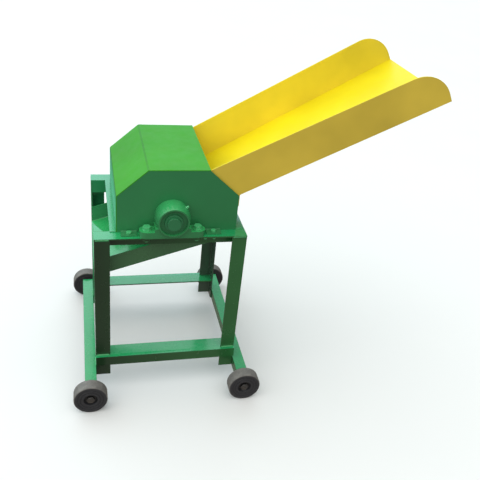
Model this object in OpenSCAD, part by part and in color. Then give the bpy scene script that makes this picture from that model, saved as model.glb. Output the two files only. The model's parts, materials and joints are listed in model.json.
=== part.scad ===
// Chaff cutter on a wheeled angle-iron frame, in millimetres.
// X runs from the discharge side to the raised end of the feed trough, Y from front to rear, Z is up.
// The origin is on the floor, under the middle of the whole machine.

/* [Frame] */
// Width of the frame over its legs
frame_w = 400; // [370:5:460]
// Depth of the frame over its legs
frame_d = 380; // [340:5:440]
// Height of the top face of the top rails above the floor
rail_top = 500; // [440:5:600]
// Flange width of the frame's angle iron
angle_w = 40; // [36:1:46]
// Thickness of the frame's angle iron
angle_t = 4; // [3:0.5:6]
// Height of the lower ends of the legs above the floor
leg_bottom = 44; // [38:1:56]
// Height of the top face of the lower rails above the floor
lower_rail_top = 117; // [101:2:181]
// Flange width of the lower rails' angle iron
lower_rail_w = 50; // [44:1:60]
// Height of the hanging flange of the lower rails
lower_rail_drop = 30; // [24:1:40]
// How far the lower rails stand out beyond the legs
lower_rail_out = 10; // [8:1:16]
// Flange width of the side rail under the foot of the cover
side_rail_w = 25; // [20:1:32]
// Length of the gusset in the front left corner, along the frame's side
gusset_len = 46; // [36:1:60]

/* [Runners] */
// Flange width of the runners' angle iron
runner_w = 32; // [28:1:40]
// Thickness of the runners' angle iron
runner_t = 4; // [3:0.5:5]
// Length of a runner
runner_len = 496; // [440:4:540]
// Thickness of the axle bracket in each runner end
bracket_t = 6; // [4:0.5:10]
// How far an axle bracket reaches below the axle
bracket_drop = 18; // [14:1:24]

/* [Wheels] */
// Radius of a wheel
wheel_r = 46; // [42:1:52]
// Width of a wheel
wheel_w = 34; // [28:1:42]
// Radius of the wheel hub inside the rubber
hub_r = 15; // [13:0.5:20]
// Radius of a stub axle
axle_r = 8; // [6:0.5:10]
// Running clearance of a hub on its axle
axle_clearance = 0.08; // [0.03:0.01:0.1]
// Length of the spacer between the bracket and the hub
spacer_len = 10; // [8:1:30]
// Wall thickness of the spacer
spacer_wall = 4; // [3:0.5:5]
// Side play of a hub between its spacer and washer
hub_side_play = 0.3; // [0.2:0.1:0.8]
// Rounding of the tread's edges
tread_edge = 3; // [1:0.5:5]
// Depth of the recess round the axle nut in a wheel's outer face
nut_recess = 9; // [7:0.5:12]
// Radius of the recess round the axle nut
nut_recess_r = 19; // [17:0.5:24]
// Fitting clearance between the rubber and its hub
tyre_clearance = 0.05; // [0.02:0.01:0.1]
// Depth of the moulded ring grooves in a wheel's faces
ring_depth = 1.5; // [0.5:0.25:3]
// Width of a moulded ring groove
ring_w = 3; // [2:0.5:5]
// Distance between the moulded ring grooves
ring_step = 8; // [7:0.5:9]

/* [Casing] */
// Width of the casing's end plates
casing_w = 314; // [300:2:326]
// Width of the flat top of the casing
casing_top_w = 157; // [140:1:180]
// Height of the casing's shoulders above the rails
shoulder_h = 103; // [98:1:112]
// Height of the casing's flat top above the rails
casing_h = 173; // [168:1:200]
// Sideways offset of the casing from the middle of the frame
casing_x = 15.5; // [8:0.5:20]
// Thickness of the end plates
plate_t = 3; // [2:0.5:4]
// How far an end plate stands in on its rail
plate_seat = 5; // [4:0.5:8]
// Thickness of the cover and the side wall
cover_t = 2.5; // [1.5:0.5:4]
// Width of the foot lip of the cover
cover_lip = 15; // [12:1:22]
// Width of a bolting foot of an end plate
foot_w = 40; // [30:1:44]
// How far a bolting foot stands out from its end plate
foot_out = 24; // [20:1:28]
// Gap between a bearing housing and a bolting foot
foot_gap = 5; // [3:1:10]
// Room round the shaft in an end plate
shaft_hole_gap = 3; // [1:0.5:6]

/* [Feed trough] */
// Rise of the trough above the level
trough_angle = 28.5; // [24:0.5:32]
// Length of the trough's floor outside the casing
trough_len = 594; // [500:2:680]
// How far the trough's walls stay below the casing's top corner
wall_drop = 1; // [0.5:0.5:4]
// Rounding of the upper corners at the walls' raised ends
trough_round = 80; // [50:1:84]
// Width of the trough at its raised end
trough_end_w = 378; // [340:2:420]
// Thickness of the trough's sheet
trough_t = 2.5; // [1.5:0.5:4]
// Depth of the flange that hangs on the casing's side wall
trough_flange = 34; // [28:1:44]
// Side gap of the trough between the end plates
trough_gap = 1; // [0.5:0.5:3]
// Drop of the flange's bolts below the start of the trough's floor
flange_bolt_drop = 19; // [16:1:20]
// Distance of the outer flange bolts from the middle one
flange_bolt_step = 110; // [90:2:120]

/* [Discharge chute] */
// Slope of the chute below the level
chute_angle = 17.5; // [14:0.5:20]
// Drop of the chute's floor below the rails at the middle of the frame
chute_drop = 75; // [70:1:84]
// Height of the chute's walls
chute_wall = 46; // [40:1:52]
// Thickness of the chute's sheet
chute_t = 2.5; // [1.5:0.5:4]
// Distance of the first chute bolt from the chute's upper end
chute_bolt_inset = 44; // [38:1:48]
// Distance between the two bolts of a chute wall
chute_bolt_step = 24; // [20:1:30]

/* [Bearings] */
// Sideways offset of the shaft from the middle of the frame
shaft_x = 0; // [-6:1:12]
// Height of the shaft above the rails
shaft_h = 47.6; // [46:0.2:52]
// Length of a bearing housing's base
base_len = 172; // [164:1:178]
// Depth of a bearing housing's base
base_d = 38; // [34:1:41]
// Thickness of a bearing housing's base
base_t = 18; // [14:1:22]
// Distance between the two bolts of a housing
base_bolts = 133; // [126:1:138]
// Outer radius of a housing's round body
housing_r = 46.5; // [43:0.5:50]
// Height of the square web under a housing's round body
web_h = 28; // [24:1:34]
// Width of a housing's round body
housing_w = 45; // [42:1:48]
// Radius of the outer face of a housing's round body
face_r = 40; // [39:0.5:42]
// Length of the taper from a housing's body to its outer face
face_taper = 18; // [14:1:20]
// Gap between a housing and its end plate
housing_gap = 1; // [0.5:0.5:3]
// Outer radius of a bearing
bearing_r = 36; // [35:0.5:38]
// Width of a bearing's outer ring
outer_ring_w = 32; // [28:1:36]
// Width of a bearing's inner ring
inner_ring_w = 44; // [40:1:46]
// Radius of the circle of balls
ball_circle_r = 27; // [26:0.25:28]
// Radius of a ball
ball_r = 5.5; // [5:0.25:6]
// Depth of the ball grooves in the rings
race_depth = 2; // [1.5:0.25:2.5]
// Number of balls in a bearing
ball_count = 9; // [7:1:11]
// Radial clearance of the balls and of the fitted rings
ring_clearance = 0.05; // [0.02:0.01:0.1]
// Running gap of a seal on its inner ring
seal_gap = 0.3; // [0.2:0.1:0.6]
// Thickness of a seal
seal_t = 1.5; // [1:0.25:2.5]
// Angle of a grease nipple from the upright
nipple_angle = 45; // [30:5:55]
// Radius of a grease nipple's thread
nipple_r = 3; // [2.5:0.25:4]
// Depth of a grease nipple's thread in its housing
nipple_depth = 8; // [6:0.5:8]
// Reach of a grease nipple out of its housing
nipple_reach = 8.5; // [7:0.5:12]

/* [Rotor] */
// Radius of the shaft in the bearings
journal_r = 17.5; // [15:0.5:18]
// Radius of the shaft between the bearings
shaft_r = 20; // [19:0.5:22]
// Radius of the driven end of the shaft
drive_r = 15; // [12:0.5:15]
// Length of the driven end of the shaft
drive_len = 80; // [72:2:90]
// How far the shaft stands out of the front bearing
shaft_nose = 8; // [4:1:12]
// Width of the keyway in the driven end
key_w = 8; // [6:1:10]
// Depth of the keyway in the driven end
key_depth = 4; // [3:0.5:5]
// Length of the keyway
key_len = 32; // [26:1:34]
// Distance of the knife seats from the shaft's axis
seat_r = 84; // [78:1:86]
// Outer radius of the knife discs
disc_r = 95; // [90:1:97]
// Thickness of a knife disc
disc_t = 14; // [14:1:20]
// Distance of the outer knife discs from the middle one
disc_step = 110; // [90:2:120]
// Length of a knife
knife_len = 284; // [260:2:288]
// Thickness of a knife
knife_t = 10; // [9:0.5:12]
// Reach of a knife ahead of its bolts
knife_lead = 30; // [26:1:34]
// Reach of a knife behind its bolts
knife_trail = 24; // [18:1:28]
// Depth of the knife screws in their discs
knife_screw_depth = 21; // [16:1:24]
// Fitting clearance between the discs and the shaft
disc_clearance = 0.02; // [0.01:0.01:0.05]

/* [Bed knife] */
// Running gap between the knives and the bed knife
cut_gap = 1.5; // [0.8:0.1:3]
// Width of the bed knife
bed_knife_w = 40; // [36:1:50]
// Thickness of the bed knife
bed_knife_t = 8; // [7:0.5:10]
// Side of the square bar under the bed knife
bed_bar = 30; // [24:1:34]
// Overlap of the trough's tongue on the bed knife
tongue_lap = 14; // [8:1:16]
// Distance of the outer bed knife screws from the middle one
bed_screw_step = 110; // [90:2:120]
// Depth of the bed knife screws in their bar
bed_screw_depth = 22; // [16:1:23]

/* [Fasteners] */
// Radius of the bearing bolts
bearing_bolt_r = 6; // [5:0.5:7]
// Radius of the casing, trough and chute bolts
sheet_bolt_r = 4; // [3:0.5:5]
// Radius of the knife and bed knife screws
knife_screw_r = 4; // [3:0.5:5]
// Clearance of a bolt in its hole
hole_clearance = 0.25; // [0.1:0.05:0.5]
// Clearance of a nut or a tapped hole on its thread
thread_clearance = 0.05; // [0.02:0.01:0.1]
// Free thread beyond a nut
thread_end = 4; // [2:0.5:6]
// Thickness of a washer
washer_t = 2; // [1.5:0.5:3]

/* [Hidden] */
$fn = 96;
tiny = 0.01;

// Fastener proportions, as shares of the thread's radius
hex_r_share = 1.85;
bolt_head_h = 1.3;
nut_h_share = 1.6;
washer_share = 2;
screw_head_share = 1.65;
screw_head_h_share = 1.4;
axle_nut_share = 0.8;
nipple_hex_share = 1.6;
nipple_tip_share = 1.2;

// How much deeper a tapped blind hole is than its screw
tap_run = 6;

// Share of the room beside the left side rail that the corner gusset fills
gusset_share = 0.65;

// Casing
half_d = frame_d / 2;
half_w = frame_w / 2;
plate_in = half_d - angle_w + plate_seat - plate_t;
plate_out = plate_in + plate_t;
casing_half = casing_w / 2;
top_half = casing_top_w / 2;
corner_in = casing_half - top_half;
corner_up = casing_h - shoulder_h;
slope_angle = atan2(corner_up, corner_in);
side_rail_x = casing_x - casing_half - cover_t - cover_lip;
gusset_w = gusset_share * (half_w + side_rail_x);
shaft_z = rail_top + shaft_h;
foot_x = base_len / 2 + foot_gap + foot_w / 2;
foot_bolt_y = plate_out + foot_out / 2;

// Feed trough, in its own tilted axes at the right shoulder of the casing
trough_x = casing_x + casing_half;
trough_z = rail_top + shoulder_h;
trough_wall = corner_in * sin(trough_angle) + corner_up * cos(trough_angle) - wall_drop;
trough_half = plate_in - trough_gap;
taper = atan2(trough_end_w / 2 - trough_half, trough_len);
wall_len = trough_len / cos(taper);
side_wall_top = shoulder_h - trough_t / cos(trough_angle);
flange_bolt_z = trough_z - flange_bolt_drop;
flange_bolt_ys = [-flange_bolt_step, 0, flange_bolt_step];

// Rotor and bed knife, seen in the trough's axes
cut_r = norm([knife_lead, seat_r + knife_t]);
rotor_dx = shaft_x - trough_x;
rotor_dz = shaft_z - trough_z;
rotor_u = rotor_dx * cos(trough_angle) + rotor_dz * sin(trough_angle);
rotor_v = rotor_dz * cos(trough_angle) - rotor_dx * sin(trough_angle);
bed_edge = rotor_u + sqrt(pow(cut_r + cut_gap, 2) - pow(rotor_v + trough_t, 2));
bed_screw_u = bed_edge + (bed_knife_w - tongue_lap) / 2;
bed_screw_ys = [-bed_screw_step, 0, bed_screw_step];
tongue_end = bed_edge + bed_knife_w - tongue_lap;
tongue_half = trough_half + tongue_end * tan(taper);

// Chute
chute_left = -half_w;
chute_right = half_w - angle_w;
chute_half = half_d - angle_w;
chute_rise = chute_wall / cos(chute_angle);
chute_thick = chute_t / cos(chute_angle);
chute_full = min(chute_right, (chute_drop - chute_rise) / tan(chute_angle));
chute_bolt_x = chute_right - chute_bolt_inset;
chute_bolt_xs = [chute_bolt_x, chute_bolt_x - chute_bolt_step];
chute_bolt_z = rail_top - angle_w / 2;

// Bearings and shaft
base_y = plate_out + housing_gap + base_d / 2;
bearing_y = plate_out + housing_gap + housing_w / 2;
race_gap = ball_r - race_depth;
shaft_front = -(bearing_y + inner_ring_w / 2 + shaft_nose);
journal_rear = bearing_y + inner_ring_w / 2 + shaft_nose;
shaft_rear = journal_rear + drive_len;
shoulder_y = bearing_y - inner_ring_w / 2;
disc_ys = [-disc_step, 0, disc_step];
knife_angles = [0, 90, 180, 270];

// Runners and wheels
axle_x = half_w + (runner_t + runner_w) / 2;
runner_end = runner_len / 2;
runner_top = leg_bottom + runner_w;
hub_in = runner_end + spacer_len + hub_side_play;
wheel_y = hub_in + wheel_w / 2;
hub_out = hub_in + wheel_w - nut_recess;
axle_head_h = axle_r;
axle_washer_y = hub_out + hub_side_play;
axle_nut_y = axle_washer_y + washer_t;
axle_nut_h = axle_nut_share * axle_r;
axle_hex_r = hex_r_share * axle_nut_share * axle_r;
axle_end = axle_nut_y + axle_nut_h;
ring_rs = [nut_recess_r + ring_step, nut_recess_r + 2 * ring_step];

// The middle of the machine, which the origin lies under
x_min = -(axle_x + wheel_r);
x_max = trough_x + trough_len * cos(trough_angle) + trough_t * sin(trough_angle);
origin_x = (x_min + x_max) / 2;

green = [0.17, 0.55, 0.32];
yellow = [0.95, 0.82, 0.16];
rubber = [0.16, 0.16, 0.17];
steel = [0.66, 0.67, 0.69];
iron = [0.24, 0.42, 0.3];

// Moves the machine so that the origin lies under its middle
module machine() {
    translate([-origin_x, 0, 0]) children();
}

// A block between two opposite corners
module block(low, high) {
    translate(low) cube(high - low);
}

// A flat shape in X and Z, pulled along Y
module along_y(y_low, y_high) {
    translate([0, y_high, 0]) rotate([90, 0, 0]) linear_extrude(y_high - y_low) children();
}

// A round bar along Y
module y_bar(r, y_low, y_high) {
    translate([0, y_low, 0]) rotate([-90, 0, 0]) cylinder(r = r, h = y_high - y_low);
}

// A ring along Y, given as a half section of radius against length
module y_ring() {
    rotate([-90, 0, 0]) rotate_extrude() children();
}

// The same thing at the front and at the rear
module front_and_rear() {
    children();
    mirror([0, 1, 0]) children();
}

// The trough's tilted axes, with X up its floor
module on_trough() {
    translate([trough_x, 0, trough_z]) rotate([0, -trough_angle, 0]) children();
}

// A hexagon bolt with its head above the seat and its thread below
module hex_bolt(r, grip) {
    cylinder(r = hex_r_share * r, h = bolt_head_h * r, $fn = 6);
    translate([0, 0, -grip]) cylinder(r = r, h = grip + tiny);
}

// A hexagon nut under its seat
module hex_nut(r) {
    nut_h = nut_h_share * r;
    difference() {
        translate([0, 0, -nut_h]) cylinder(r = hex_r_share * r, h = nut_h, $fn = 6);
        translate([0, 0, -nut_h - tiny]) cylinder(r = r + thread_clearance, h = nut_h + 2 * tiny);
    }
}

// A flush screw with a round head, its top level with the seat and its thread below
module flush_screw(r, grip) {
    head_h = screw_head_h_share * r;
    translate([0, 0, -head_h]) cylinder(r = screw_head_share * r, h = head_h);
    translate([0, 0, -grip]) cylinder(r = r, h = grip - head_h + tiny);
}

// The hole that a flush screw sits in
module flush_hole(r, depth) {
    head_h = screw_head_h_share * r;
    translate([0, 0, -head_h]) cylinder(r = screw_head_share * r + hole_clearance, h = head_h + tiny);
    translate([0, 0, -depth]) cylinder(r = r + hole_clearance, h = depth);
}

function nut_len(r) = nut_h_share * r + thread_end;

// The casing's outline from foot to foot, grown outward by the given amount
function casing_outline(grow) = [
    [-casing_half - grow, 0],
    [-casing_half - grow, shoulder_h + grow * (1 - sin(slope_angle)) / cos(slope_angle)],
    [-top_half - grow * (1 - cos(slope_angle)) / sin(slope_angle), casing_h + grow],
    [top_half + grow * (1 - cos(slope_angle)) / sin(slope_angle), casing_h + grow],
    [casing_half + grow, shoulder_h + grow * (1 - sin(slope_angle)) / cos(slope_angle)],
    [casing_half + grow, 0]
];

// Places of the fasteners that the sheets and the rails share
module at_bearing_bolts() {
    for (x = [-base_bolts / 2, base_bolts / 2]) {
        translate([shaft_x + x, -base_y, rail_top]) children();
    }
}

module at_casing_bolts() {
    for (x = [-foot_x, foot_x]) {
        translate([shaft_x + x, -foot_bolt_y, rail_top]) children();
    }
}

module at_chute_bolts() {
    for (x = chute_bolt_xs) {
        translate([x, -chute_half, chute_bolt_z]) rotate([-90, 0, 0]) children();
    }
}

module at_trough_bolts() {
    for (y = flange_bolt_ys) {
        translate([trough_x + cover_t, y, flange_bolt_z]) rotate([0, 90, 0]) children();
    }
}

module at_bed_screws() {
    on_trough() for (y = bed_screw_ys) {
        translate([bed_screw_u, y, -trough_t]) children();
    }
}

module round_hole(r, reach) {
    translate([0, 0, -reach]) cylinder(r = r + hole_clearance, h = 2 * reach);
}

// Frame
module end_rail() {
    color(green) machine() difference() {
        union() {
            block([-half_w, -half_d, rail_top - angle_t], [half_w, -half_d + angle_w, rail_top]);
            block(
                [-half_w + angle_t, -half_d + angle_w - angle_t, rail_top - angle_w],
                [half_w - angle_t, -half_d + angle_w, rail_top]
            );
        }
        at_bearing_bolts() round_hole(bearing_bolt_r, 2 * angle_t);
        at_casing_bolts() round_hole(sheet_bolt_r, 2 * angle_t);
        at_chute_bolts() round_hole(sheet_bolt_r, 2 * angle_t);
    }
}

module front_top_rail() {
    end_rail();
}

module rear_top_rail() {
    mirror([0, 1, 0]) end_rail();
}

module right_top_rail() {
    reach = half_d - angle_w;
    color(green) machine() {
        block([half_w - angle_w, -reach, rail_top - angle_t], [half_w, reach, rail_top]);
        block(
            [half_w - angle_w, -reach, rail_top - angle_w],
            [half_w - angle_w + angle_t, reach, rail_top]
        );
    }
}

module left_side_rail() {
    reach = half_d - angle_w;
    inner = side_rail_x + side_rail_w;
    color(green) machine() {
        block([side_rail_x, -reach, rail_top - angle_t], [inner, reach, rail_top]);
        block([inner - angle_t, -reach, rail_top - side_rail_w], [inner, reach, rail_top]);
    }
}

module corner_gusset() {
    corner = -half_d + angle_w;
    color(green) machine() translate([0, 0, rail_top - angle_t]) {
        linear_extrude(angle_t) polygon([
            [-half_w, corner],
            [-half_w + gusset_w, corner],
            [-half_w, corner + gusset_len]
        ]);
    }
}

// The front left leg, which the others mirror
module leg() {
    leg_top = rail_top - angle_t;
    color(green) machine() {
        block([-half_w, -half_d, leg_bottom], [-half_w + angle_w, -half_d + angle_t, leg_top]);
        block([-half_w, -half_d, leg_bottom], [-half_w + angle_t, -half_d + angle_w, leg_top]);
    }
}

// Mirrors a piece of the left side to the right side of the frame
module to_right() {
    machine() mirror([1, 0, 0]) translate([origin_x, 0, 0]) children();
}

module front_left_leg() {
    leg();
}

module front_right_leg() {
    to_right() leg();
}

module rear_left_leg() {
    mirror([0, 1, 0]) leg();
}

module rear_right_leg() {
    mirror([0, 1, 0]) to_right() leg();
}

// The front lower rail, slotted for the legs and reaching into their hollow sides
module lower_rail() {
    face = -half_d - lower_rail_out;
    inner = face + lower_rail_w;
    between = half_w - angle_w;
    hollow = half_w - angle_t;
    low = lower_rail_top - angle_t;
    color(green) machine() {
        block([-between, face, low], [between, inner, lower_rail_top]);
        block([-half_w, face, low], [half_w, -half_d, lower_rail_top]);
        block([-hollow, -half_d + angle_t, low], [hollow, inner, lower_rail_top]);
        block([-half_w, face, lower_rail_top - lower_rail_drop], [half_w, face + angle_t, lower_rail_top]);
    }
}

module front_lower_rail() {
    lower_rail();
}

module rear_lower_rail() {
    mirror([0, 1, 0]) lower_rail();
}

// Runners, brackets and axles
module left_runner() {
    color(green) machine() {
        block([-half_w - runner_t, -runner_end, leg_bottom], [-half_w, runner_end, runner_top]);
        block(
            [-half_w - runner_w, -runner_end, runner_top - runner_t],
            [-half_w, runner_end, runner_top]
        );
    }
}

module right_runner() {
    to_right() left_runner();
}

module at_axles() {
    for (side = [-1, 1]) {
        for (end = [-1, 1]) {
            machine() translate([side * axle_x, 0, wheel_r]) at_end(end) children();
        }
    }
}

// Leaves the front end as it is, and mirrors it for the rear end
module at_end(end) {
    if (end > 0) {
        mirror([0, 1, 0]) children();
    } else {
        children();
    }
}

module axle_brackets() {
    half = (runner_w - runner_t) / 2;
    color(green) at_axles() difference() {
        block(
            [-half, -runner_end, -bracket_drop],
            [half, -runner_end + bracket_t, runner_top - runner_t - wheel_r]
        );
        y_bar(axle_r + hole_clearance, -runner_end - bracket_t, -runner_end + 2 * bracket_t);
    }
}

module stub_axles() {
    head_y = -runner_end + bracket_t;
    color(steel) at_axles() {
        y_bar(axle_r, -axle_end, head_y + tiny);
        translate([0, head_y, 0]) rotate([-90, 0, 0]) {
            cylinder(r = axle_hex_r, h = axle_head_h, $fn = 6);
        }
    }
}

module axle_spacers() {
    color(green) at_axles() difference() {
        y_bar(axle_r + spacer_wall, -runner_end - spacer_len, -runner_end);
        y_bar(axle_r + hole_clearance, -runner_end - spacer_len - tiny, -runner_end + tiny);
    }
}

module axle_washers() {
    color(steel) at_axles() difference() {
        y_bar(hub_r, -axle_nut_y, -axle_washer_y);
        y_bar(axle_r + hole_clearance, -axle_nut_y - tiny, -axle_washer_y + tiny);
    }
}

module axle_nuts() {
    color(steel) at_axles() difference() {
        translate([0, -axle_end, 0]) rotate([-90, 0, 0]) {
            cylinder(r = axle_hex_r, h = axle_nut_h, $fn = 6);
        }
        y_bar(axle_r + thread_clearance, -axle_end - tiny, -axle_nut_y + tiny);
    }
}

// A moulded groove of a wheel's face, as a half section
module ring_groove(r, face) {
    translate([r - ring_w / 2, face - ring_depth]) square([ring_w, 2 * ring_depth]);
}

// The rubber's half section, with its outer face at the low end
module tyre_section() {
    half = wheel_w / 2;
    edge = tread_edge;
    bore = hub_r + tyre_clearance;
    difference() {
        union() {
            translate([bore, -half]) square([wheel_r - edge - bore, wheel_w]);
            translate([bore, -half + edge]) square([wheel_r - bore, wheel_w - 2 * edge]);
            translate([wheel_r - edge, half - edge]) circle(r = edge);
            translate([wheel_r - edge, -half + edge]) circle(r = edge);
        }
        translate([0, -half - tiny]) square([nut_recess_r, nut_recess + tiny]);
        for (r = ring_rs) {
            ring_groove(r, half);
            ring_groove(r, -half);
        }
    }
}

module tyre_at(side, end) {
    color(rubber) machine() translate([side * axle_x, 0, wheel_r]) at_end(end) {
        translate([0, -wheel_y, 0]) y_ring() tyre_section();
    }
}

module hub_at(side, end) {
    color(steel) machine() translate([side * axle_x, 0, wheel_r]) at_end(end) difference() {
        y_bar(hub_r, -hub_out, -hub_in);
        y_bar(axle_r + axle_clearance, -hub_out - tiny, -hub_in + tiny);
    }
}

module front_left_tyre() {
    tyre_at(-1, -1);
}

module front_right_tyre() {
    tyre_at(1, -1);
}

module rear_left_tyre() {
    tyre_at(-1, 1);
}

module rear_right_tyre() {
    tyre_at(1, 1);
}

module front_left_hub() {
    hub_at(-1, -1);
}

module front_right_hub() {
    hub_at(1, -1);
}

module rear_left_hub() {
    hub_at(-1, 1);
}

module rear_right_hub() {
    hub_at(1, 1);
}

// Casing
module end_plate() {
    color(green) machine() difference() {
        union() {
            translate([casing_x, 0, rail_top]) along_y(-plate_out, -plate_in) polygon(casing_outline(0));
            for (x = [-foot_x, foot_x]) {
                translate([shaft_x + x - foot_w / 2, -plate_out - foot_out, rail_top]) {
                    cube([foot_w, foot_out + plate_t, plate_t]);
                }
            }
        }
        translate([shaft_x, 0, shaft_z]) y_bar(shaft_r + shaft_hole_gap, -plate_out - plate_t, 0);
        at_casing_bolts() round_hole(sheet_bolt_r, 2 * plate_t);
    }
}

module front_end_plate() {
    end_plate();
}

module rear_end_plate() {
    mirror([0, 1, 0]) end_plate();
}

module cover() {
    foot = -casing_half - cover_t;
    color(green) machine() translate([casing_x, 0, rail_top]) along_y(-plate_out, plate_out) {
        difference() {
            polygon(casing_outline(cover_t));
            polygon(casing_outline(0));
            translate([top_half, 0]) square([2 * casing_half, 2 * casing_h]);
        }
        translate([foot - cover_lip, 0]) square([cover_lip + cover_t, cover_t]);
    }
}

module side_wall() {
    left = casing_x + casing_half;
    color(green) machine() difference() {
        block([left, -plate_out, rail_top], [left + cover_t, plate_out, rail_top + side_wall_top]);
        at_trough_bolts() round_hole(sheet_bolt_r, 2 * cover_t);
    }
}

// Feed trough
module trough_wall_shape() {
    straight = wall_len - trough_round;
    round_base = trough_wall - trough_round;
    inner_end = tongue_end / cos(taper);
    translate([inner_end, -trough_t]) square([straight - inner_end, trough_t + trough_wall]);
    translate([straight, -trough_t]) square([trough_round, trough_t + round_base]);
    translate([straight, round_base]) intersection() {
        circle(r = trough_round);
        square(trough_round);
    }
}

module trough_floor() {
    inset = trough_t / 2;
    translate([0, 0, -trough_t]) linear_extrude(trough_t) polygon([
        [tongue_end, -tongue_half + inset],
        [trough_len, -trough_end_w / 2 + inset],
        [trough_len, trough_end_w / 2 - inset],
        [tongue_end, tongue_half - inset]
    ]);
}

module feed_trough() {
    flange_x = trough_x + cover_t;
    flange_top = trough_z + cover_t * tan(trough_angle) - trough_t / 2;
    color(yellow) machine() difference() {
        union() {
            on_trough() {
                trough_floor();
                front_and_rear() {
                    translate([0, -trough_half, 0]) rotate([90, 0, -taper]) {
                        translate([0, 0, -trough_t]) linear_extrude(trough_t) trough_wall_shape();
                    }
                }
            }
            block(
                [flange_x, -trough_half, trough_z - trough_flange],
                [flange_x + trough_t, trough_half, flange_top]
            );
        }
        at_trough_bolts() round_hole(sheet_bolt_r, 2 * trough_t);
    }
}

// Discharge chute
function chute_floor(x) = rail_top - chute_drop + x * tan(chute_angle);

module discharge_chute() {
    color(green) machine() difference() {
        union() {
            along_y(-chute_half, chute_half) polygon([
                [chute_left, chute_floor(chute_left) - chute_thick],
                [chute_right, chute_floor(chute_right) - chute_thick],
                [chute_right, chute_floor(chute_right)],
                [chute_left, chute_floor(chute_left)]
            ]);
            front_and_rear() along_y(-chute_half, -chute_half + chute_t) polygon([
                [chute_left, chute_floor(chute_left) - chute_thick],
                [chute_right, chute_floor(chute_right) - chute_thick],
                [chute_right, chute_floor(chute_full) + chute_rise],
                [chute_full, chute_floor(chute_full) + chute_rise],
                [chute_left, chute_floor(chute_left) + chute_rise]
            ]);
        }
        front_and_rear() at_chute_bolts() round_hole(sheet_bolt_r, 2 * chute_t);
    }
}

// Bed knife
module bed_knife_bar() {
    low = bed_edge + bed_knife_w - tongue_lap / 2 - bed_bar;
    reach = 2 * (bed_knife_t + bed_bar);
    color(iron) machine() difference() {
        on_trough() block(
            [low, -plate_in, -trough_t - bed_knife_t - bed_bar],
            [low + bed_bar, plate_in, -trough_t - bed_knife_t]
        );
        at_bed_screws() cylinder(r = knife_screw_r + thread_clearance, h = reach, center = true);
    }
}

module bed_knife() {
    half = knife_len / 2;
    color(steel) machine() difference() {
        on_trough() along_y(-half, half) polygon([
            [bed_edge, -trough_t],
            [bed_edge + bed_knife_w, -trough_t],
            [bed_edge + bed_knife_w, -trough_t - bed_knife_t],
            [bed_edge + bed_knife_t / 2, -trough_t - bed_knife_t]
        ]);
        at_bed_screws() flush_hole(knife_screw_r, 2 * bed_knife_t);
    }
}

module bed_knife_screws() {
    color(steel) machine() at_bed_screws() flush_screw(knife_screw_r, bed_knife_t + bed_screw_depth);
}

// Bearings
module bearing_housing() {
    end_r = base_d / 2;
    end_x = base_len / 2 - end_r;
    half = housing_w / 2;
    color(iron) machine() difference() {
        translate([shaft_x, 0, rail_top]) difference() {
            union() {
                translate([0, -base_y, 0]) {
                    translate([-end_x, -end_r, 0]) cube([2 * end_x, base_d, base_t]);
                    for (x = [-end_x, end_x]) {
                        translate([x, 0, 0]) cylinder(r = end_r, h = base_t);
                    }
                    translate([-housing_r, -end_r, 0]) cube([2 * housing_r, base_d, web_h]);
                }
                translate([0, -bearing_y, shaft_h]) y_ring() polygon([
                    [0, -half],
                    [face_r, -half],
                    [housing_r, -half + face_taper],
                    [housing_r, half],
                    [0, half]
                ]);
            }
            translate([0, -bearing_y, shaft_h]) {
                y_bar(bearing_r + ring_clearance, -housing_w, housing_w);
                rotate([0, nipple_angle, 0]) {
                    cylinder(r = nipple_r + thread_clearance, h = 2 * housing_r);
                }
            }
        }
        at_bearing_bolts() round_hole(bearing_bolt_r, 2 * base_t);
    }
}

module front_bearing_housing() {
    bearing_housing();
}

module rear_bearing_housing() {
    mirror([0, 1, 0]) bearing_housing();
}

module at_front_bearing() {
    machine() translate([shaft_x, -bearing_y, shaft_z]) children();
}

// The half section that the balls roll in
module race_section() {
    translate([ball_circle_r, 0]) circle(r = ball_r + ring_clearance);
}

module outer_ring() {
    inner = ball_circle_r + race_gap;
    color(steel) at_front_bearing() difference() {
        y_ring() difference() {
            translate([inner, -outer_ring_w / 2]) square([bearing_r - inner, outer_ring_w]);
            race_section();
        }
        rotate([0, nipple_angle, 0]) cylinder(r = nipple_r / 2, h = 2 * bearing_r);
    }
}

module front_outer_ring() {
    outer_ring();
}

module rear_outer_ring() {
    mirror([0, 1, 0]) outer_ring();
}

module inner_ring() {
    outer = ball_circle_r - race_gap;
    bore = journal_r + ring_clearance;
    color(steel) at_front_bearing() y_ring() difference() {
        translate([bore, -inner_ring_w / 2]) square([outer - bore, inner_ring_w]);
        race_section();
    }
}

module front_inner_ring() {
    inner_ring();
}

module rear_inner_ring() {
    mirror([0, 1, 0]) inner_ring();
}

module bearing_balls() {
    color(steel) at_front_bearing() for (i = [0 : ball_count - 1]) {
        rotate([0, i * 360 / ball_count, 0]) translate([ball_circle_r, 0, 0]) sphere(r = ball_r);
    }
}

module front_bearing_balls() {
    bearing_balls();
}

module rear_bearing_balls() {
    mirror([0, 1, 0]) bearing_balls();
}

module bearing_seals() {
    inner = ball_circle_r - race_gap + seal_gap;
    outer = ball_circle_r + race_gap - ring_clearance;
    color(rubber) front_and_rear() at_front_bearing() front_and_rear() y_ring() {
        translate([inner, outer_ring_w / 2 - seal_t]) square([outer - inner, seal_t]);
    }
}

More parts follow.
